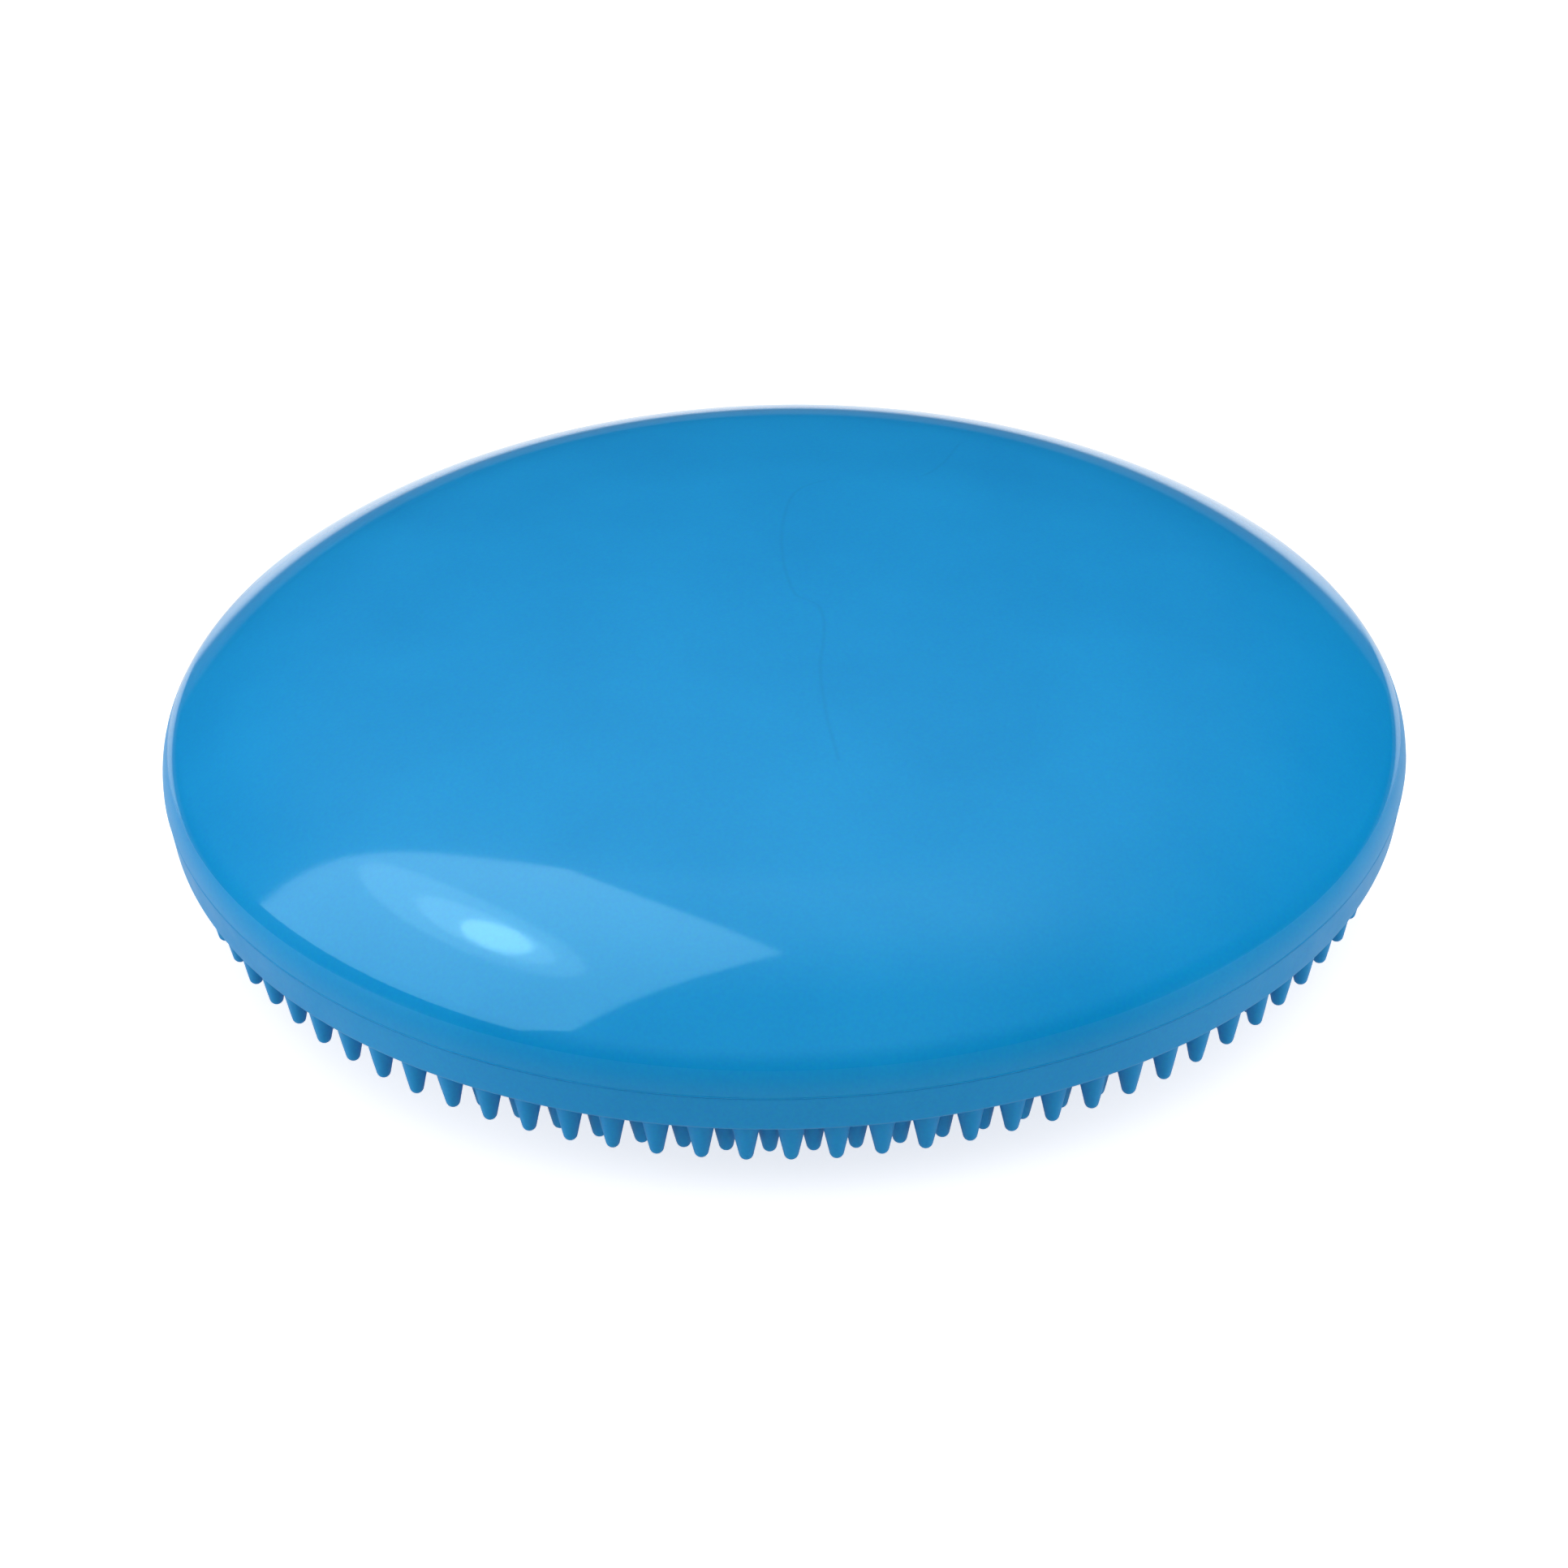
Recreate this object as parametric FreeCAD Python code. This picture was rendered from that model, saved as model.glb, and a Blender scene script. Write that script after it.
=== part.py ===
import FreeCAD, Part
import math
import os

# Balance dome trainer: a round air cushion of soft PVC. A smooth domed skin and a nubbed
# skin meet at a welded seam halfway up the rim, and a plugged needle valve sits in the
# back of the rim. Millimetres, +Z up, origin on the floor under the centre, front at -Y.

# The air cushion
seam_radius = 165.0          # crest of the seam, the widest place
seam_height = 38.0           # seam above the floor
haunch_slope = 10.6          # slope where the flatter dome runs into its haunch, degrees
haunch_radius = 105.0        # round of the haunch
shoulder_slope = 38.5        # slope where the haunch runs into the shoulder, degrees
shoulder_radius = 13.8       # round of the shoulder, down to the seam
wall = 3.5                   # thickness of both skins
rim_depth = 10.4             # seam down to the lower edge of the rim
rim_draft = 1.4              # how far the rim leans in over that depth
edge_round = 2.5             # round at the lower edge of the rim
rest_radius = 60.0           # where the cushion lies flat on the floor

# The seam
flash_proud = 0.3            # weld flash stands out of the rim
flash_round = 0.45           # half the height of the flash
web_half = 0.3               # half the thickness of the weld between the skins
bead_radius = 4.0            # bead of weld squeezed out inside

# The massage nubs
nub_height = 11.0            # tip below the skin
nub_tip_round = 1.8          # radius of the rounded tip
nub_tip_flat = 0.6           # radius of the worn flat on the tip
nub_slope = 11.5             # side of a nub, degrees from upright
edge_ring_inset = 8.0        # outermost ring inside the seam
edge_ring_pitch = 10.84      # from nub to nub in the two outermost rings
root_clearance = 0.25        # between the roots of those two rings
ring_step = 12.0             # from ring to ring after them
nub_pitch = 12.0             # from nub to nub along those rings
bare_centre = 26.0           # radius of the centre that has no nubs

# The needle valve, square to the back of the rim, halfway down from the seam to the edge
recess_radius = 3.9          # seat of the valve in the rim
boss_wall = 2.8              # skin around the sleeve inside the cushion
rib_thickness = 5.0          # rib that stands the boss on the skin
sleeve_radius = 2.9          # rubber sleeve, a tight fit in its boss
sleeve_length = 13.0         # from its flange's face to its inner end
sleeve_flange = 1.0          # thickness of the flange
sleeve_past_boss = 1.5       # inner end stands out of the boss
needle_radius = 1.30         # bore for the pump's needle
needle_depth = 10.0          # the bore ends in a membrane
stem_clearance = 0.05        # plug's stem in the bore, on the radius
stem_length = 9.0
head_clearance = 0.3         # plug's head in its seat, on the radius
head_thickness = 1.5
nail_notch = 1.1             # radius of the notch that a fingernail lifts the plug by

V = FreeCAD.Vector
UP = V(0, 0, 1)
BACK = V(0, 1, 0)
CENTRE = V(0, 0, 0)

os.makedirs("parts", exist_ok=True)


def line(start, end):
    return Part.LineSegment(start, end).toShape()


def arc(start, end, centre):
    """The shorter arc from start to end about centre."""
    middle = (start + end) * 0.5 - centre
    middle.normalize()
    middle = centre + middle * (start - centre).Length
    return Part.Arc(start, middle, end).toShape()


def turned(edges):
    """The solid that a closed outline in the XZ plane makes, turned about the axis."""
    return Part.Face(Part.Wire(edges)).revolve(CENTRE, UP, 360)


def save(node, shape):
    shape.exportStep(f"parts/{node}.step")


# Places that several pieces share, as points in the XZ plane.
skin_radius = seam_radius - flash_proud


def leaning(slope):
    """The direction square to a skin with a slope in degrees."""
    return V(math.sin(math.radians(slope)), 0, math.cos(math.radians(slope)))


# The smooth skin's outline is three arcs that run into each other: dome, haunch, shoulder.
off_haunch = leaning(haunch_slope)
off_shoulder = leaning(shoulder_slope)
shoulder_reach = shoulder_radius * (1 - off_shoulder.x)
haunch_reach = haunch_radius * (off_shoulder.x - off_haunch.x)
dome_radius = (skin_radius - shoulder_reach - haunch_reach) / off_haunch.x
shoulder_centre = V(skin_radius - shoulder_radius, 0, seam_height)
haunch_centre = shoulder_centre + off_shoulder * (shoulder_radius - haunch_radius)
dome_centre = UP * (haunch_centre + off_haunch * (haunch_radius - dome_radius)).z
crown = dome_centre + UP * dome_radius

seam_point = V(skin_radius, 0, seam_height)
rim_run = V(-rim_draft, 0, -rim_depth)
rim_corner = seam_point + rim_run
rim_down = V(rim_run)
rim_down.normalize()
rim_inward = V(rim_down.z, 0, -rim_down.x)
under_rise = rim_corner.z - nub_height
under_radius = ((rim_corner.x - rest_radius) ** 2 + under_rise**2) / (2 * under_rise)
under_centre = V(rest_radius, 0, nub_height + under_radius)


def rim_meets(inset, radius):
    """Where the rim's wall, moved inward by inset, meets the circle about under_centre."""
    start = seam_point + rim_inward * inset - under_centre
    along = start.dot(rim_down)
    ahead = -along + math.sqrt(along**2 - start.dot(start) + radius**2)
    return under_centre + start + rim_down * ahead


def skin_height(radius):
    """Height of the underside's skin above the floor at a radius."""
    out = max(radius - rest_radius, 0)
    return under_centre.z - math.sqrt(under_radius**2 - out**2)


def dome_outline(depth, height):
    """The dome's outline at a depth below the smooth skin: its foot at a height, its arcs
    from there over the shoulder and the haunch to the axis, and its top."""
    bend = shoulder_radius - depth
    reach = math.sqrt(bend**2 - (height - seam_height) ** 2)
    foot = V(shoulder_centre.x + reach, 0, height)
    above_shoulder = shoulder_centre + off_shoulder * bend
    above_haunch = haunch_centre + off_haunch * (haunch_radius - depth)
    top = crown - UP * depth
    arcs = [
        arc(foot, above_shoulder, shoulder_centre),
        arc(above_shoulder, above_haunch, haunch_centre),
        arc(above_haunch, top, dome_centre),
    ]
    return foot, arcs, top


def upper_shell():
    """The smooth skin, from the weld up over the shoulder to the crown."""
    height = seam_height + web_half
    outer_foot, outer, outer_top = dome_outline(0, height)
    inner_foot, inner, inner_top = dome_outline(wall, height)
    across_crown = line(outer_top, inner_top)
    across_foot = line(inner_foot, outer_foot)
    return turned([*outer, across_crown, *reversed(inner), across_foot])


def on_rim_wall(inset, height):
    """The point of the rim's wall, moved inward by inset, that is at a height."""
    start = seam_point + rim_inward * inset
    return start + rim_down * ((start.z - height) / -rim_down.z)


def underside_edges(top_height):
    """The outside of the nubbed skin, from a height on the rim down to the axis."""
    round_centre = rim_meets(edge_round, under_radius - edge_round)
    on_rim = round_centre - rim_inward * edge_round
    away = round_centre - under_centre
    away.normalize()
    on_skin = round_centre + away * edge_round
    flat_edge = V(rest_radius, 0, nub_height)
    return [
        line(on_rim_wall(0, top_height), on_rim),
        arc(on_rim, on_skin, round_centre),
        arc(on_skin, flat_edge, under_centre),
        line(flat_edge, V(0, 0, nub_height)),
    ]


# The valve's places along its axis, which runs to the back through the rim.
valve_height = seam_height - rim_depth / 2
rim_at_valve = skin_radius - rim_draft / 2
seat_y = rim_at_valve - head_thickness - sleeve_flange
flange_face_y = seat_y + sleeve_flange
sleeve_end_y = flange_face_y - sleeve_length
boss_end_y = sleeve_end_y + sleeve_past_boss
boss_radius = sleeve_radius + boss_wall


def along_valve(radius, start_y, end_y):
    """A cylinder on the valve's axis."""
    return Part.makeCylinder(radius, end_y - start_y, V(0, start_y, valve_height), BACK)


def lower_shell():
    """The nubbed skin without its nubs, with the valve's boss and seat moulded in."""
    top = seam_height - web_half
    inside_top = on_rim_wall(wall, top)
    inside_corner = rim_meets(wall, under_radius - wall)
    inside_flat = V(rest_radius, 0, nub_height + wall)
    inside_centre = V(0, 0, nub_height + wall)
    skin = turned(
        [
            *underside_edges(top),
            line(V(0, 0, nub_height), inside_centre),
            line(inside_centre, inside_flat),
            arc(inside_flat, inside_corner, under_centre),
            line(inside_corner, inside_top),
            line(inside_top, on_rim_wall(0, top)),
        ]
    )
    boss = along_valve(boss_radius, boss_end_y, inside_top.x)
    rib_outline = [
        V(-rib_thickness / 2, boss_end_y, skin_height(boss_end_y) + wall / 2),
        V(-rib_thickness / 2, inside_top.x, skin_height(inside_top.x) + wall / 2),
        V(-rib_thickness / 2, inside_top.x, valve_height),
        V(-rib_thickness / 2, boss_end_y, valve_height),
    ]
    rib_side = Part.Face(Part.makePolygon([*rib_outline, rib_outline[0]]))
    rib = rib_side.extrude(V(rib_thickness, 0, 0))
    body = skin.fuse([boss, rib])
    body = body.cut(along_valve(sleeve_radius, boss_end_y - wall, skin_radius))
    return body.cut(along_valve(recess_radius, seat_y, seam_radius)).removeSplitter()


def seam_weld(upper, lower):
    """The weld: a bead inside, the web between the skins and the flash outside."""
    bead_x = skin_radius - wall + bead_radius / 4
    at_seam = V(0, 0, seam_height)
    web_foot = V(0, 0, seam_height - web_half)
    web = Part.makeCylinder(skin_radius, 2 * web_half, web_foot)
    web = web.cut(Part.makeCylinder(bead_x, 2 * web_half, web_foot))
    bead = Part.makeTorus(bead_x, bead_radius, at_seam, UP)
    bead_foot = V(0, 0, seam_height - bead_radius)
    bead = bead.common(Part.makeCylinder(skin_radius - wall / 2, 2 * bead_radius, bead_foot))
    flash = Part.makeTorus(seam_radius - flash_round, flash_round, at_seam, UP)
    valve_way = along_valve(recess_radius, boss_end_y, seam_radius)
    return web.fuse([bead, flash]).cut([upper, lower, valve_way]).removeSplitter()


def nub_side():
    """Above the tip, in the nub's own place: the ball's centre and where its side starts."""
    slope = math.radians(nub_slope)
    worn = nub_tip_round - math.sqrt(nub_tip_round**2 - nub_tip_flat**2)
    ball = V(0, 0, nub_tip_round - worn)
    return ball, ball + V(math.cos(slope), 0, -math.sin(slope)) * nub_tip_round


def nub_side_at(height):
    """The point of the nub's side at a height above its tip."""
    ball, side = nub_side()
    out = (height - side.z) * math.tan(math.radians(nub_slope))
    return V(side.x + out, 0, height)


def nub(radius):
    """One nub on the front of a ring, hanging straight down from the skin. Its root is
    the plane that touches the skin on the nub's axis."""
    root_z = skin_height(radius)
    ball, side = nub_side()
    tip_edge = V(nub_tip_flat, 0, 0)
    inside = nub_side_at(1.25 * nub_height)
    inside_axis = V(0, 0, inside.z)
    solid = turned(
        [
            line(CENTRE, tip_edge),
            arc(tip_edge, side, ball),
            line(side, inside),
            line(inside, inside_axis),
            line(inside_axis, CENTRE),
        ]
    )
    solid.translate(V(0, -radius, root_z - nub_height))

    foot = V(0, -radius, root_z)
    skin_centre = V(0, -min(radius, rest_radius), under_centre.z)
    beyond = Part.makeCylinder(nub_height, nub_height, foot, skin_centre - foot)
    return solid.cut(beyond).Solids[0]


def nub_rings():
    """The radius and number of nubs of each ring, from the rim to the centre. The second
    ring's nubs stand between the first's, as close as their roots allow."""
    radius = seam_radius - edge_ring_inset
    count = round(2 * math.pi * radius / edge_ring_pitch)
    between_roots = 2 * nub_side_at(nub_height).x + root_clearance
    half_pitch = math.pi * radius / count
    rings = [(radius, count)]
    radius -= math.sqrt(between_roots**2 - half_pitch**2)
    rings.append((radius, count))
    radius -= ring_step
    while radius > bare_centre:
        rings.append((radius, round(2 * math.pi * radius / nub_pitch)))
        radius -= ring_step
    return rings


def ring_of_nubs(radius, count, stagger):
    """A ring of equal nubs; stagger turns it by a share of the pitch."""
    first = nub(radius)
    copies = []
    for i in range(count):
        copy = first.copy()
        copy.rotate(CENTRE, UP, 360 * (i + stagger) / count)
        copies.append(copy)
    return Part.makeCompound(copies)


def valve_sleeve():
    """The rubber sleeve that seals on the pump's needle: flange, body and blind bore."""
    body = along_valve(sleeve_radius, sleeve_end_y, flange_face_y)
    flange = along_valve(recess_radius, seat_y, flange_face_y)
    bore = along_valve(needle_radius, flange_face_y - needle_depth, flange_face_y)
    return body.fuse(flange).cut(bore).removeSplitter()


def valve_plug():
    """The plug that closes the bore: a stem with a rounded end and a flush head."""
    stem_radius = needle_radius - stem_clearance
    stem_end_y = flange_face_y - stem_length
    stem = along_valve(stem_radius, stem_end_y + stem_radius, flange_face_y)
    nose = Part.makeSphere(stem_radius, V(0, stem_end_y + stem_radius, valve_height))
    head_radius = recess_radius - head_clearance
    head = along_valve(head_radius, flange_face_y, rim_at_valve)
    rim_edges = [e for e in head.Edges if abs(e.BoundBox.YMin - rim_at_valve) < 0.01]
    head = head.makeFillet(head_thickness / 4, rim_edges)
    notch = Part.makeCylinder(
        nail_notch,
        head_thickness / 2,
        V(0, rim_at_valve - head_thickness / 2, valve_height + head_radius),
        BACK,
    )
    return head.cut(notch).fuse([stem, nose]).removeSplitter()


upper = upper_shell()
lower = lower_shell()
save("upper_shell", upper)
save("lower_shell", lower)
save("seam_weld", seam_weld(upper, lower))

for number, (radius, count) in enumerate(nub_rings(), 1):
    stagger = 0.5 * ((number - 1) % 2)
    save(f"nub_ring_{number:02d}", ring_of_nubs(radius, count, stagger))

save("valve_sleeve", valve_sleeve())
save("valve_plug", valve_plug())
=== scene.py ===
import math
import random

import bpy
from mathutils import Matrix, Vector, noise


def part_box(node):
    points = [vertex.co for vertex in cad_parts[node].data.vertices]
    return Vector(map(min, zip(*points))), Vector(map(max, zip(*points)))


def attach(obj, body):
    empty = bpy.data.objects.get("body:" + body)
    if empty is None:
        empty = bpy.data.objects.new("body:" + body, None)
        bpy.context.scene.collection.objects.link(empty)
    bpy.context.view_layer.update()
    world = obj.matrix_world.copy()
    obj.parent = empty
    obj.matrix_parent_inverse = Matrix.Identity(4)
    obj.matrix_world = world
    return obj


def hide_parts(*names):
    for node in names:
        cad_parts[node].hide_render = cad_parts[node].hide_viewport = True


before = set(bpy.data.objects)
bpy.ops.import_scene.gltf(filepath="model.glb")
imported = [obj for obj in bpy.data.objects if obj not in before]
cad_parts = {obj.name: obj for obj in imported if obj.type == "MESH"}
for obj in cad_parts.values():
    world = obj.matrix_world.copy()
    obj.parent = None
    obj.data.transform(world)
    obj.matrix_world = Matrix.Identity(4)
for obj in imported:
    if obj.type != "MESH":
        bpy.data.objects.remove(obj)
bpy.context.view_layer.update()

# Balance dome trainer: a round air cushion of soft blue PVC, smooth and domed above,
# nubbed below, with a plugged needle valve in the back of its rim.


# The view: a long lens in front of the cushion, looking down on it.
camera_place = Vector((-0.000165, -0.979126, 0.650839))
camera_down = math.radians(32.8)
camera_roll = math.radians(1.09)
camera_lens = 99.37

camera_data = bpy.data.cameras.new("camera")
camera_data.sensor_width = 36
camera_data.lens = camera_lens
camera = bpy.data.objects.new("camera", camera_data)
bpy.context.scene.collection.objects.link(camera)
level = Vector((1, 0, 0))
upward = Vector((0, math.sin(camera_down), math.cos(camera_down)))
backward = level.cross(upward)
across = level * math.cos(camera_roll) - upward * math.sin(camera_roll)
upright = level * math.sin(camera_roll) + upward * math.cos(camera_roll)
axes = Matrix((across, upright, backward)).transposed().to_4x4()
camera.matrix_world = Matrix.Translation(camera_place) @ axes
bpy.context.scene.camera = camera


# The smooth skin: one half of the cushion, cast in soft PVC against a polished mould that
# leaves the dome glossy. Air pressure crowns it, and a round shoulder runs into the rim.
MM = 0.001
wall = 3.5 * MM
web_half = 0.3 * MM
seam_z = 38 * MM
haunch_round = 105 * MM
haunch_up = math.radians(90 - 10.6)
shoulder_round = 13.8 * MM
shoulder_up = math.radians(90 - 38.5)
edge_soft = 0.07 * MM
skin_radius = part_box("upper_shell")[1].x
shoulder_centre = Vector((skin_radius - shoulder_round, seam_z))
haunch_centre = shoulder_centre + Vector((math.cos(shoulder_up), math.sin(shoulder_up))) * (
    shoulder_round - haunch_round)
dome_round = haunch_round + haunch_centre.x / math.cos(haunch_up)
dome_z = haunch_centre.y + math.sin(haunch_up) * (haunch_round - dome_round)
crown_z = dome_z + dome_round
skin_slices = 360
skin_blue_deep = "#0584c4"
skin_blue_pale = "#1093d2"


def arc_points(centre, radius, start, end, steps):
    """Points (r, z) along an arc; angles in radians from the outward direction."""
    angles = [start + (end - start) * n / steps for n in range(steps + 1)]
    return [(centre[0] + radius * math.cos(a), centre[1] + radius * math.sin(a)) for a in angles]


def turned(name, outline, slices, loop=False):
    """A smooth closed mesh: an outline of (r, z) turned about the upright axis."""
    vertices, rings = [], []
    for r, z in outline:
        if r < 1e-9:
            rings.append([len(vertices)] * slices)
            vertices.append((0, 0, z))
        else:
            rings.append(list(range(len(vertices), len(vertices) + slices)))
            for n in range(slices):
                a = 2 * math.pi * n / slices
                vertices.append((r * math.cos(a), r * math.sin(a), z))
    faces = []
    pairs = list(zip(rings, rings[1:])) + ([(rings[-1], rings[0])] if loop else [])
    for low, high in pairs:
        for n in range(slices):
            m = (n + 1) % slices
            face = list(dict.fromkeys((low[n], low[m], high[m], high[n])))
            faces.append(face)
    return made(name, vertices, faces)


def made(name, vertices, faces):
    """An object with smooth faces and crisp edges where they meet at more than 40 degrees."""
    mesh = bpy.data.meshes.new(name)
    mesh.from_pydata(vertices, [], faces)
    mesh.update()
    mesh.shade_smooth()
    mesh.set_sharp_from_angle(angle=math.radians(40))
    piece = bpy.data.objects.new(name, mesh)
    bpy.context.scene.collection.objects.link(piece)
    return piece


def linear(colour):
    """An sRGB hex colour as the linear colour that shaders take."""
    parts = [int(colour[n:n + 2], 16) / 255 for n in (1, 3, 5)]
    return tuple(c / 12.92 if c <= 0.04045 else ((c + 0.055) / 1.055)**2.4 for c in parts) + (1,)


def add(tree, kind, inputs=None, **settings):
    """Adds a node with its settings; its inputs are values or other nodes' outputs."""
    node = tree.nodes.new("ShaderNode" + kind)
    for name, value in settings.items():
        setattr(node, name, value)
    for name, value in (inputs or {}).items():
        if isinstance(value, bpy.types.NodeSocket):
            tree.links.new(value, node.inputs[name])
        else:
            node.inputs[name].default_value = value
    return node


def material_tree(name):
    """A new material's node tree, its shader, and where each point is on the object."""
    material = bpy.data.materials.new(name)
    material.use_nodes = True
    tree = material.node_tree
    place = add(tree, "TexCoord").outputs["Object"]
    return material, tree, tree.nodes["Principled BSDF"], place


def finished(piece, body, slot, material, *nodes):
    """Gives a piece its material and its CAD body, and hides the CAD nodes it stands for; the slot is
    not used.
    """
    piece.data.materials.clear()
    piece.data.materials.append(material)
    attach(piece, body)
    if nodes:
        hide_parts(*nodes)
    return piece


def dome_side(depth):
    """The skin's side, depth inside its outer face, from the seam to the crown."""
    shoulder = arc_points(shoulder_centre, shoulder_round - depth, 0.02, shoulder_up, 36)
    haunch = arc_points(haunch_centre, haunch_round - depth, shoulder_up, haunch_up, 40)
    dome = arc_points((0, dome_z), dome_round - depth, haunch_up, math.pi / 2, 70)
    return shoulder + haunch[1:] + dome[1:-1] + [(0, crown_z - depth)]


low_edge = seam_z + web_half
outer = [(skin_radius - edge_soft, low_edge),
         (skin_radius - edge_soft * 0.3, low_edge + edge_soft * 0.3)] + dome_side(0)
inner = dome_side(wall)[::-1] + [(skin_radius - wall, low_edge)]
dome_skin = turned("dome_skin", outer + inner, skin_slices, loop=True)

# Air pressure leaves the dome a little uneven, by about a tenth of a millimetre.
swell = 0.03 * MM
swell_span = 95 * MM
for vertex in dome_skin.data.vertices:
    r = math.hypot(vertex.co.x, vertex.co.y)
    if vertex.co.z > seam_z + 8 * MM:
        fade = min(1, max(0, (skin_radius - 10 * MM - r) / (20 * MM)))
        spot = Vector((vertex.co.x / swell_span, vertex.co.y / swell_span, 0.7))
        vertex.co.z += swell * fade * noise.noise(spot)

# Soft PVC, cast against polished steel: a wet gloss with a faint orange-peel grain, the
# colour slightly cloudy from the pigment. The rim came off a blasted mould and is satin.
pvc_gloss, tree, shader, place = material_tree("soft_pvc_polished_cast")
cloud = add(tree, "TexNoise", {"Vector": place, "Scale": 1 / (45 * MM), "Detail": 3.0})
speck = add(tree, "TexNoise", {"Vector": place, "Scale": 1 / (0.9 * MM), "Detail": 2.0})
pigment = add(tree, "MixRGB", {"Fac": cloud.outputs["Fac"], "Color1": linear(skin_blue_deep),
                               "Color2": linear(skin_blue_pale)})
grained = add(tree, "MixRGB", {"Fac": 0.18, "Color1": pigment.outputs["Color"],
                               "Color2": speck.outputs["Color"]}, blend_type="SOFT_LIGHT")
height = add(tree, "SeparateXYZ", {"Vector": place})

# A faint flow line, where the PVC met itself as it filled the mould: a curve of x over y.
flow_line = ((-77, 13.7), (-43, 9.7), (-10, 10.3), (-1, 3.2), (50, 2.5), (65, 12), (70, 40), (100, 52))
flow_from, flow_span, flow_reach = -80 * MM, 200 * MM, 60 * MM
along = add(tree, "Math", {0: height.outputs["Y"], 1: 1 / flow_span, 2: -flow_from / flow_span},
            operation="MULTIPLY_ADD")
path = add(tree, "FloatCurve", {"Value": along.outputs[0]})
bends = path.mapping.curves[0].points
for place_y, place_x in flow_line[1:-1]:
    bends.new((place_y * MM - flow_from) / flow_span, place_x * MM / flow_reach)
for bend, (place_y, place_x) in zip((bends[0], bends[-1]), (flow_line[0], flow_line[-1])):
    bend.location = ((place_y * MM - flow_from) / flow_span, place_x * MM / flow_reach)
path.mapping.update()
aside = add(tree, "Math", {0: path.outputs["Value"], 1: -flow_reach, 2: height.outputs["X"]},
            operation="MULTIPLY_ADD")
aside = add(tree, "Math", {0: aside.outputs[0]}, operation="ABSOLUTE")
near = add(tree, "MapRange", {"Value": aside.outputs[0], "From Min": 0.8 * MM, "From Max": 0.1 * MM})
middle = add(tree, "Math", {0: along.outputs[0], 1: 0.45, 2: 0.43}, operation="COMPARE")
flow = add(tree, "Math", {0: near.outputs["Result"], 1: middle.outputs[0]}, operation="MULTIPLY")
faint = add(tree, "Math", {0: flow.outputs[0], 1: 0.12}, operation="MULTIPLY")
marked = add(tree, "MixRGB", {"Fac": faint.outputs[0], "Color1": grained.outputs["Color"],
                              "Color2": linear("#045a8c")})
tree.links.new(marked.outputs["Color"], shader.inputs["Base Color"])
on_rim = add(tree, "MapRange", {"Value": height.outputs["Z"], "From Min": seam_z + 7.3 * MM,
                                "From Max": seam_z + 6.5 * MM, "To Min": 0.0, "To Max": 1.0})
handled = add(tree, "TexNoise", {"Vector": place, "Scale": 1 / (30 * MM), "Detail": 4.0})
gloss = add(tree, "MapRange", {"Value": handled.outputs["Fac"], "From Min": 0.35, "From Max": 0.7,
                               "To Min": 0.055, "To Max": 0.085})
surface = add(tree, "Mix", {0: on_rim.outputs["Result"], 2: gloss.outputs["Result"], 3: 0.42})
tree.links.new(surface.outputs[0], shader.inputs["Roughness"])
peel = add(tree, "TexNoise", {"Vector": place, "Scale": 1 / (1.6 * MM), "Detail": 2.0})
bump = add(tree, "Bump", {"Height": peel.outputs["Fac"], "Strength": 0.25,
                          "Distance": 0.02 * MM})
tree.links.new(bump.outputs["Normal"], shader.inputs["Normal"])
shader.inputs["IOR"].default_value = 1.5
shader.inputs["Specular Tint"].default_value = linear("#aef2ff")

finished(dome_skin, "cushion", "dome_skin", pvc_gloss, "upper_shell")


# The nubbed skin: the other half, cast in the same PVC against a blasted mould, with the
# rim's lower half, the boss for the valve, and an underside that sags flat on the floor.
rim_depth = 10.4 * MM
rim_draft = 1.4 * MM
edge_round = 1.5 * MM
rest_radius = 60 * MM
rest_z = 11 * MM
rim_corner = (skin_radius - rim_draft, seam_z - rim_depth)
under_rise = rim_corner[1] - rest_z
under_round = ((rim_corner[0] - rest_radius)**2 + under_rise**2) / (2 * under_rise)
under_z = rest_z + under_round
valve_z = 32.8 * MM
valve_face = 164.0 * MM
seat_y = 161.5 * MM
flange_y = 162.5 * MM
boss_end = 151 * MM
sleeve_end = 149.5 * MM
recess_radius = 3.9 * MM
sleeve_radius = 2.9 * MM
boss_radius = 5.7 * MM
rib_half = 2.5 * MM


def underside(r, depth=0.0):
    """Height of the underside's outer face, or of a face depth inside it, at radius r."""
    if r <= rest_radius:
        return rest_z + depth
    return under_z - math.sqrt((under_round - depth)**2 - (r - rest_radius)**2)


def rounded(before, corner, after, radius, steps=8):
    """Points that turn a corner of an outline with a round of that radius."""
    a, b, c = (Vector(p) for p in (before, corner, after))
    u, v = (a - b).normalized(), (c - b).normalized()
    half = u.angle(v) / 2
    centre = b + (u + v).normalized() * radius / math.sin(half)
    start, end = (b + w * radius / math.tan(half) - centre for w in (u, v))
    swing = start.angle(end)
    points = []
    for n in range(steps + 1):
        t = n / steps
        mix = (start * math.sin((1 - t) * swing) + end * math.sin(t * swing)) / math.sin(swing)
        points.append(tuple(centre + mix))
    return points


def under_points(start, steps, depth=0.0):
    """Points along the underside from radius start to the centre."""
    radii = [start + (rest_radius - start) * n / steps for n in range(steps + 1)]
    radii += [rest_radius * (1 - n / 6) for n in range(1, 7)]
    return [(max(r, 0), underside(r, depth)) for r in radii]


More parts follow.
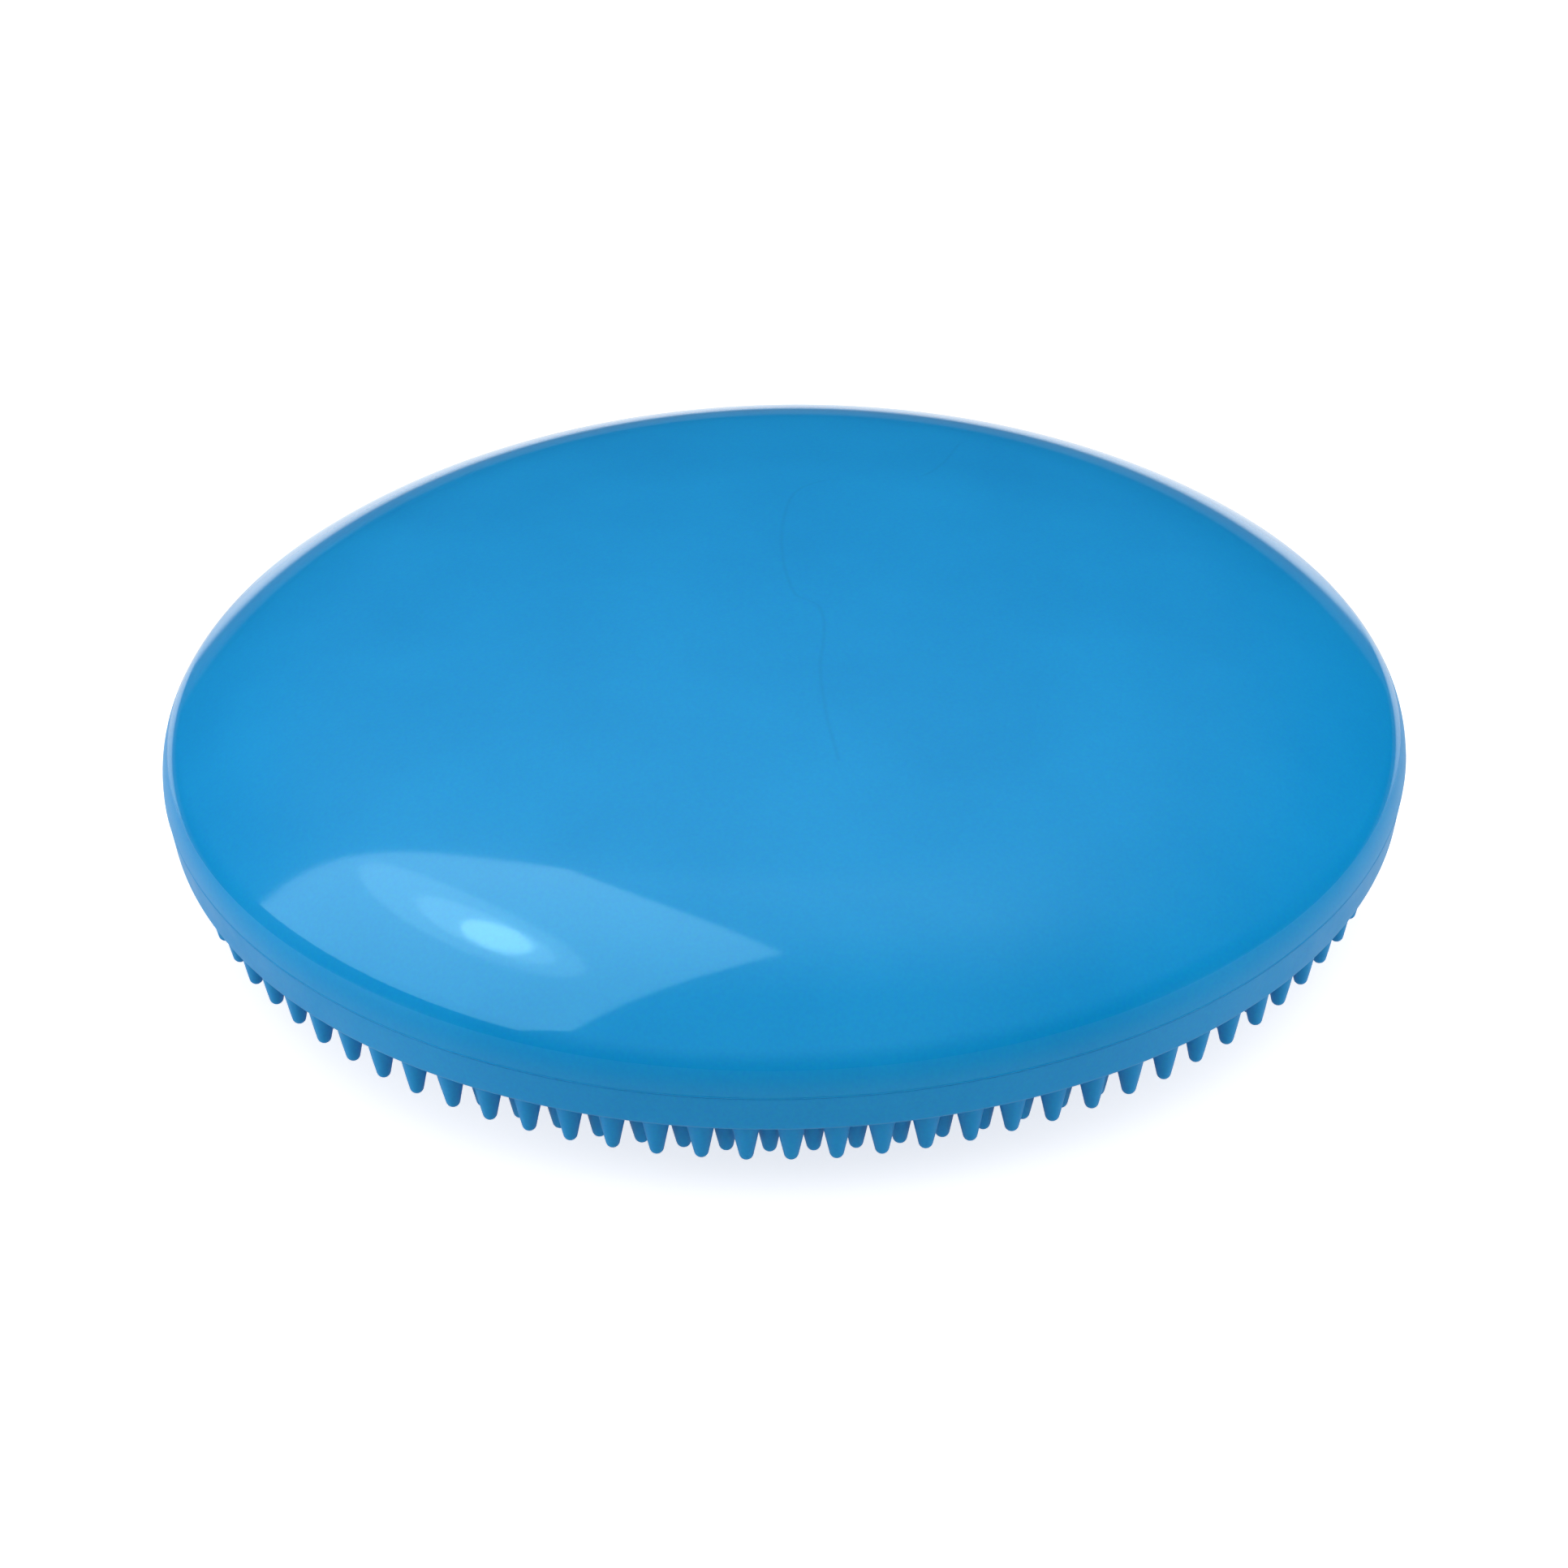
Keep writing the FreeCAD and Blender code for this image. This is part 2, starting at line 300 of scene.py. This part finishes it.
high_edge = seam_z - web_half
corner_next = (rim_corner[0] - 4 * MM, underside(rim_corner[0] - 4 * MM))
outer = [(skin_radius - edge_soft, high_edge),
         (skin_radius - edge_soft * 0.3, high_edge - edge_soft * 0.3),
         (skin_radius - rim_draft * 0.06, high_edge - edge_soft)]
outer += [(skin_radius - rim_draft * n / 6, seam_z - rim_depth * n / 6) for n in range(1, 5)]
outer += rounded(outer[-1], rim_corner, corner_next, edge_round)
under_start = outer[-1][0] - 0.4 * MM
outer += under_points(under_start, 60)
inner = under_points(rim_corner[0] - wall * 1.6, 40, wall)[::-1]
inner += [(rim_corner[0] - wall * 1.05, rim_corner[1] + wall * 1.1),
          (skin_radius - wall, high_edge)]
nubbed_skin = turned("nubbed_skin", outer + inner, skin_slices, loop=True)

along_valve = Matrix.Translation((0, 0, valve_z)) @ Matrix.Rotation(-math.pi / 2, 4, "X")


def cut_with(piece, tool, operation):
    """Joins a tool to a piece, or cuts it away, and removes the tool."""
    change = piece.modifiers.new("valve", "BOOLEAN")
    change.operation = operation
    change.object = tool
    change.solver = "MANIFOLD"
    bpy.context.view_layer.update()
    graph = bpy.context.evaluated_depsgraph_get()
    mesh = bpy.data.meshes.new_from_object(piece.evaluated_get(graph))
    piece.modifiers.clear()
    piece.data = mesh
    bpy.data.objects.remove(tool)


boss = turned("boss", [(0, boss_end), (boss_radius, boss_end), (boss_radius, seat_y - 0.2 * MM),
                       (0, seat_y - 0.2 * MM)], 48)
boss.data.transform(along_valve)
cut_with(nubbed_skin, boss, "UNION")
mouth = 0.5 * MM
seat = turned("seat", [(0, boss_end - MM), (sleeve_radius, boss_end - MM),
                       (sleeve_radius, seat_y), (recess_radius, seat_y),
                       (recess_radius, valve_face - mouth),
                       (recess_radius + 0.15 * mouth, valve_face - 0.5 * mouth),
                       (recess_radius + 0.6 * mouth, valve_face),
                       (recess_radius + 2 * mouth, valve_face + mouth), (0, valve_face + mouth)], 64)
seat.data.transform(along_valve)
cut_with(nubbed_skin, seat, "DIFFERENCE")
nubbed_skin.data.shade_smooth()
nubbed_skin.data.set_sharp_from_angle(angle=math.radians(40))

# Soft PVC off a blasted mould: satin, with a fine even grain and the same cloudy blue.
pvc_satin, tree, shader, place = material_tree("soft_pvc_blasted_cast")
cloud = add(tree, "TexNoise", {"Vector": place, "Scale": 1 / (45 * MM), "Detail": 3.0})
speck = add(tree, "TexNoise", {"Vector": place, "Scale": 1 / (0.9 * MM), "Detail": 2.0})
pigment = add(tree, "MixRGB", {"Fac": cloud.outputs["Fac"], "Color1": linear(skin_blue_deep),
                               "Color2": linear(skin_blue_pale)})
grained = add(tree, "MixRGB", {"Fac": 0.2, "Color1": pigment.outputs["Color"],
                               "Color2": speck.outputs["Color"]}, blend_type="SOFT_LIGHT")
tree.links.new(grained.outputs["Color"], shader.inputs["Base Color"])
handled = add(tree, "TexNoise", {"Vector": place, "Scale": 1 / (12 * MM), "Detail": 4.0})
gloss = add(tree, "MapRange", {"Value": handled.outputs["Fac"], "From Min": 0.3, "From Max": 0.7,
                               "To Min": 0.36, "To Max": 0.46})
tree.links.new(gloss.outputs["Result"], shader.inputs["Roughness"])
blast = add(tree, "TexNoise", {"Vector": place, "Scale": 1 / (0.7 * MM), "Detail": 3.0})
bump = add(tree, "Bump", {"Height": blast.outputs["Fac"], "Strength": 0.3,
                          "Distance": 0.03 * MM})
tree.links.new(bump.outputs["Normal"], shader.inputs["Normal"])
shader.inputs["IOR"].default_value = 1.5
shader.inputs["Specular IOR Level"].default_value = 0.35
shader.inputs["Specular Tint"].default_value = linear("#aef2ff")

finished(nubbed_skin, "cushion", "nubbed_skin", pvc_satin, "lower_shell")


# The seam: both skins are pressed together hot, and a thin uneven flash of PVC stands out
# of the joint all round the rim, with a rounder bead of it inside.
flash_most = 0.3 * MM
bead_radius = 3.6 * MM
bead_centre = skin_radius - wall - 0.6 * bead_radius
lip = [(skin_radius - wall, -web_half), (skin_radius - edge_soft, -web_half),
       (skin_radius - 0.02 * MM, -0.9 * web_half),
       (skin_radius + 0.6 * flash_most, -0.5 * web_half), (skin_radius + flash_most, 0)]
lip += [(r, -z) for r, z in lip[-2::-1]]
bead = arc_points((bead_centre, 0), bead_radius, 0.35, 2 * math.pi - 0.35, 20)
seam = turned("seam_flash", [(r, seam_z + z) for r, z in lip + bead], skin_slices, loop=True)
for vertex in seam.data.vertices:
    r = math.hypot(vertex.co.x, vertex.co.y)
    if r > skin_radius - 0.1 * MM:
        spot = Vector((vertex.co.x / (22 * MM), vertex.co.y / (22 * MM), 4.2))
        kept = 0.15 + 0.35 * min(1, max(0, 0.5 + 1.4 * noise.noise(spot)))
        trimmed = skin_radius - 0.1 * MM + (r - skin_radius + 0.1 * MM) * kept
        vertex.co.x *= trimmed / r
        vertex.co.y *= trimmed / r

finished(seam, "cushion", "seam", pvc_satin, "seam_weld")


# The massage nubs: tapered round-tipped fingers in rings, cast in one with the nubbed skin
# from drilled pockets in its mould, each with a soft root that runs out into the skin.
nub_tip_round = 1.8 * MM
nub_tip_flat = 0.6 * MM
nub_slope = math.radians(11.5)
nub_length = 11 * MM
root_flare = 0.3 * MM
root_depth = 0.8 * MM
nub_random = random.Random(11)
rings = [(157.0, 91), (151.515, 91)] + [
    (151.515 - 12 * n, count)
    for n, count in enumerate((73, 67, 60, 54, 48, 42, 35, 29, 23, 17), 1)
]


def nub_side(steps):
    """(radius, depth below the skin) down the side of a nub, from its root to its tip."""
    tip_centre = nub_length - math.sqrt(nub_tip_round**2 - nub_tip_flat**2)
    side_end = tip_centre + nub_tip_round * math.sin(nub_slope)
    side_radius = nub_tip_round * math.cos(nub_slope)
    points = [(side_radius + root_flare + (side_end + 0.5 * MM) * math.tan(nub_slope), -0.5 * MM)]
    for n in range(steps + 1):
        depth = side_end * (n / steps)**1.35
        flare = root_flare * max(0, 1 - depth / root_depth)**2
        points.append((side_radius + flare + (side_end - depth) * math.tan(nub_slope), depth))
    last = math.acos(nub_tip_flat / nub_tip_round)
    for n in range(1, 7):
        a = nub_slope + (last - nub_slope) * n / 6
        points.append((nub_tip_round * math.cos(a), tip_centre + nub_tip_round * math.sin(a)))
    return points


def skin_under(x, y):
    """Height of the cast skin's outer face over a point near a nub's root."""
    r = math.hypot(x, y)
    edge = rim_corner[0] - edge_round
    if r <= edge:
        return underside(r)
    lift = 1 - math.sqrt(max(0, 1 - min(1, (r - edge) / edge_round)**2))
    return underside(edge) + edge_round * lift


for number, (radius_mm, count) in enumerate(rings, 1):
    node = f"nub_ring_{number:02d}"
    radius = radius_mm * MM
    tip_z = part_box(node)[0].z
    root_z = tip_z + nub_length
    corners = 28 if number < 3 else 18
    side = nub_side(9 if number < 3 else 6)
    vertices, faces = [], []
    for n in range(count):
        around = 2 * math.pi * (n + 0.5 * ((number - 1) % 2)) / count - math.pi / 2
        centre = Vector((radius * math.cos(around), radius * math.sin(around)))
        lean = Vector((nub_random.gauss(0, 0.10), nub_random.gauss(0, 0.10))) * MM
        stout = 1 + nub_random.gauss(0, 0.012)
        first = len(vertices)
        for reach, depth in side:
            sink = max(0, depth) / nub_length
            follow = max(0, 1 - sink / 0.55)
            middle = centre + lean * sink
            for c in range(corners):
                a = 2 * math.pi * c / corners
                x = middle.x + reach * stout * math.cos(a)
                y = middle.y + reach * stout * math.sin(a)
                z = root_z + (skin_under(x, y) - root_z) * follow - depth
                vertices.append((x, y, z))
        vertices.append((centre.x, centre.y, root_z + 0.5 * MM))
        vertices.append((centre.x + lean.x, centre.y + lean.y, tip_z))
        top, tip = len(vertices) - 2, len(vertices) - 1
        for c in range(corners):
            d = (c + 1) % corners
            faces.append((top, first + c, first + d))
            for level_number in range(len(side) - 1):
                low = first + level_number * corners
                high = low + corners
                faces.append((low + c, high + c, high + d, low + d))
            end = first + (len(side) - 1) * corners
            faces.append((end + c, tip, end + d))
    finished(made(f"nubs_{number:02d}", vertices, faces), "cushion", "nubs", pvc_satin, node)


# The valve's sleeve: black rubber, pressed into its boss, with a flange in the seat and a
# blind bore that a ball pump's needle opens.
needle_radius = 1.30 * MM
needle_depth = 10 * MM
sleeve_side = [(0, sleeve_end), (sleeve_radius - 0.5 * MM, sleeve_end),
               (sleeve_radius, sleeve_end + 0.5 * MM), (sleeve_radius, seat_y),
               (recess_radius - 0.25 * MM, seat_y), (recess_radius, seat_y + 0.25 * MM),
               (recess_radius, flange_y - 0.25 * MM), (recess_radius - 0.25 * MM, flange_y),
               (needle_radius + 0.3 * MM, flange_y), (needle_radius, flange_y - 0.3 * MM),
               (needle_radius, flange_y - needle_depth), (0, flange_y - needle_depth)]
sleeve = turned("valve_rubber_sleeve", sleeve_side, 64)
sleeve.data.transform(along_valve)

# Moulded rubber: dull near-black with a dusty bloom.
rubber, tree, shader, place = material_tree("moulded_rubber_black")
bloom = add(tree, "TexNoise", {"Vector": place, "Scale": 1 / (1.5 * MM), "Detail": 3.0})
dusty = add(tree, "MixRGB", {"Fac": bloom.outputs["Fac"], "Color1": linear("#1b1c1e"),
                             "Color2": linear("#2e3033")})
tree.links.new(dusty.outputs["Color"], shader.inputs["Base Color"])
dull = add(tree, "MapRange", {"Value": bloom.outputs["Fac"], "To Min": 0.5, "To Max": 0.75})
tree.links.new(dull.outputs["Result"], shader.inputs["Roughness"])
bump = add(tree, "Bump", {"Height": bloom.outputs["Fac"], "Strength": 0.3,
                          "Distance": 0.02 * MM})
tree.links.new(bump.outputs["Normal"], shader.inputs["Normal"])
shader.inputs["IOR"].default_value = 1.52

finished(sleeve, "cushion", "valve_rubber", rubber, "valve_sleeve")


# The valve's plug: a small moulded peg of tougher PVC that closes the bore. Its head lies
# flush in the seat, with a notch at its top for a fingernail.
stem_radius = 1.25 * MM
stem_length = 9 * MM
head_radius = 3.6 * MM
head_round = 0.4 * MM
head_dish = 0.25 * MM
stem_end = flange_y - stem_length
plug_side = arc_points((0, stem_end + stem_radius), stem_radius, -math.pi / 2, 0, 8)
plug_side[0] = (0, stem_end)
plug_side += [(stem_radius, flange_y), (head_radius - 0.2 * MM, flange_y),
              (head_radius, flange_y + 0.2 * MM)]
plug_side += arc_points((head_radius - head_round, valve_face - head_round), head_round, 0,
                        math.pi / 2, 6)
plug_side += [(head_radius - 1.0 * MM, valve_face), (head_radius - 1.3 * MM, valve_face - head_dish),
              (0, valve_face - head_dish)]
plug = turned("valve_plug_peg", plug_side, 64)
notch = turned("notch", [(0, valve_face - 0.8 * MM), (1.1 * MM, valve_face - 0.8 * MM),
                         (1.1 * MM, valve_face + MM), (0, valve_face + MM)], 32)
notch.data.transform(Matrix.Translation((0, -head_radius, 0)))
for part in (plug, notch):
    part.data.transform(along_valve)
cut_with(plug, notch, "DIFFERENCE")
plug.data.shade_smooth()
plug.data.set_sharp_from_angle(angle=math.radians(40))

# Tougher moulded PVC: a slightly deeper blue with a waxy low gloss.
pvc_peg, tree, shader, place = material_tree("hard_pvc_moulded")
flow = add(tree, "TexNoise", {"Vector": place, "Scale": 1 / (3 * MM), "Detail": 3.0})
waxy = add(tree, "MixRGB", {"Fac": flow.outputs["Fac"], "Color1": linear("#0a6aa6"),
                            "Color2": linear("#0f78b6")})
tree.links.new(waxy.outputs["Color"], shader.inputs["Base Color"])
gloss = add(tree, "MapRange", {"Value": flow.outputs["Fac"], "To Min": 0.26, "To Max": 0.4})
tree.links.new(gloss.outputs["Result"], shader.inputs["Roughness"])
bump = add(tree, "Bump", {"Height": flow.outputs["Fac"], "Strength": 0.2,
                          "Distance": 0.03 * MM})
tree.links.new(bump.outputs["Normal"], shader.inputs["Normal"])

finished(plug, "plug", "valve_plug", pvc_peg, "valve_plug")


# The studio: a plain pale floor, one long soft box up on the left, and a dim room whose
# walls are white only near the floor. The floor also glows, a painted glow that lifts its
# shadow and lights the cushion from below. In the cushion's reflections alone it is painted
# darker away from the middle and towards the front.
floor_size = 40.0
floor = made("floor", [(x * floor_size / 2, y * floor_size / 2, 0)
                       for x, y in ((-1, -1), (1, -1), (1, 1), (-1, 1))], [(0, 1, 2, 3)])
paper_painted_glow_and_reflection, tree, shader, place = material_tree("matt_paper_painted_glow_and_reflection")
fibre = add(tree, "TexNoise", {"Vector": place, "Scale": 1 / (2 * MM), "Detail": 4.0})
pulp = add(tree, "MixRGB", {"Fac": fibre.outputs["Fac"], "Color1": linear("#c8c8c8"),
                            "Color2": linear("#cbcbcb")})
shader.inputs["Roughness"].default_value = 0.9
shader.inputs["Specular IOR Level"].default_value = 0.1
shader.inputs["Emission Color"].default_value = (1, 1, 1, 1)
# Painted reflection: for glossy rays only, the floor's colour and glow fall off away from the middle
# and towards the front, which paints dark reflections into the cushion's gloss.
out_there = add(tree, "VectorMath", {0: place}, operation="LENGTH")
painted_reflection_falloff = add(tree, "MapRange", {"Value": out_there.outputs["Value"], "From Min": 0.36,
                               "From Max": 0.55, "To Min": 1.0, "To Max": 0.1})
spot = add(tree, "SeparateXYZ", {"Vector": place})
painted_reflection_by_side = add(tree, "MapRange", {"Value": spot.outputs["Y"], "From Min": -0.3, "From Max": 0.3,
                                  "To Min": 0.6, "To Max": 1.5})
painted_reflection_falloff = add(tree, "Math", {0: painted_reflection_falloff.outputs["Result"], 1: painted_reflection_by_side.outputs["Result"]},
            operation="MULTIPLY")
mirrored = add(tree, "LightPath").outputs["Is Glossy Ray"]
lit = add(tree, "Mix", {0: mirrored, 2: 1.0, 3: painted_reflection_falloff.outputs[0]})
shown = add(tree, "MixRGB", {"Fac": lit.outputs[0], "Color1": (0, 0, 0, 1),
                             "Color2": pulp.outputs["Color"]})
tree.links.new(shown.outputs["Color"], shader.inputs["Base Color"])
# Painted glow: the floor emits light. The glow is stronger where the floor is seen directly than where
# it lights the cushion from below, and it lifts the floor's shadow.
seen = add(tree, "LightPath").outputs["Is Camera Ray"]
painted_glow_strength = add(tree, "Math", {0: seen, 1: 0.45, 2: 0.3}, operation="MULTIPLY_ADD")
painted_glow_strength = add(tree, "Math", {0: painted_glow_strength.outputs[0], 1: lit.outputs[0]}, operation="MULTIPLY")
tree.links.new(painted_glow_strength.outputs[0], shader.inputs["Emission Strength"])
floor.data.materials.append(paper_painted_glow_and_reflection)


def soft_box(name, centre, facing, across, size, radiance):
    """A flat studio light of that size (wide, tall) and radiance, facing a direction."""
    data = bpy.data.lights.new(name, "AREA")
    data.shape = "RECTANGLE"
    data.size, data.size_y = size
    data.energy = radiance * math.pi * size[0] * size[1]
    lamp = bpy.data.objects.new(name, data)
    bpy.context.scene.collection.objects.link(lamp)
    z = -Vector(facing).normalized()
    x = (Vector(across) - z * z.dot(Vector(across))).normalized()
    lamp.matrix_world = (Matrix.Translation(centre)
                         @ Matrix((x, z.cross(x), z)).transposed().to_4x4())
    return lamp


key = soft_box("key", (-2.74, 1.05, 5.95), (0.786, 0.296, -0.543), (-0.465, 0.862, -0.202),
               (4.7, 7.7), 2.35)
key.visible_diffuse = False
for name, centre, size, radiance in (("key_tube", (-0.554, 0.065, 0.916), (0.60, 0.24), 1.0),
                                     ("key_tube_middle", (-0.532, 0.029, 0.933), (0.36, 0.15), 1.3),
                                     ("key_lamp", (-0.518, 0.005, 0.943), (0.17, 0.12), 4.2)):
    lamp = soft_box(name, centre, (0.448, -0.131, -0.884), (0.478, -0.801, 0.361), size, radiance)
    lamp.data.shape = "ELLIPSE"
    lamp.visible_diffuse = False
ceiling = soft_box("ceiling", (0, 0.4, 3.3), (0, 0, -1), (1, 0, 0), (8, 8), 1.5)
ceiling.visible_glossy = False
for name, side, radiance in (("left_panel", -1, 4.5), ("right_panel", 1, 3.2)):
    panel = soft_box(name, (1.6 * side, -0.3, 0.5), (-side, 0, 0), (0, 1, 0), (1.2, 0.7), radiance)
    panel.visible_glossy = False

world = bpy.data.worlds.new("studio")
bpy.context.scene.world = world
world.use_nodes = True
world.cycles_visibility.diffuse = False
tree = world.node_tree
sight = add(tree, "TexCoord").outputs["Generated"]
split = add(tree, "SeparateXYZ", {"Vector": sight})
climb = add(tree, "VectorMath", {0: sight, 1: (-0.61, -0.155, 4.116)}, operation="DOT_PRODUCT")
climb = add(tree, "Math", {0: climb.outputs["Value"], 1: -3.33}, operation="ADD")
glow = add(tree, "Math", {0: climb.outputs[0]}, operation="EXPONENT")
glow = add(tree, "Math", {0: glow.outputs[0], 1: 1.4}, operation="MINIMUM")
in_front = add(tree, "MapRange", {"Value": split.outputs["Y"], "From Min": -0.15,
                                  "From Max": 0.2, "To Min": 0.45, "To Max": 1.0})
room = add(tree, "Math", {0: glow.outputs[0], 1: in_front.outputs["Result"]},
           operation="MULTIPLY")
seen = add(tree, "LightPath").outputs["Is Camera Ray"]
final = add(tree, "Math", {0: room.outputs[0], 1: seen}, operation="MAXIMUM")
tree.links.new(final.outputs[0], tree.nodes["Background"].inputs["Strength"])
tree.nodes["Background"].inputs["Color"].default_value = (1, 1, 1, 1)

bpy.context.scene.view_settings.view_transform = "Standard"
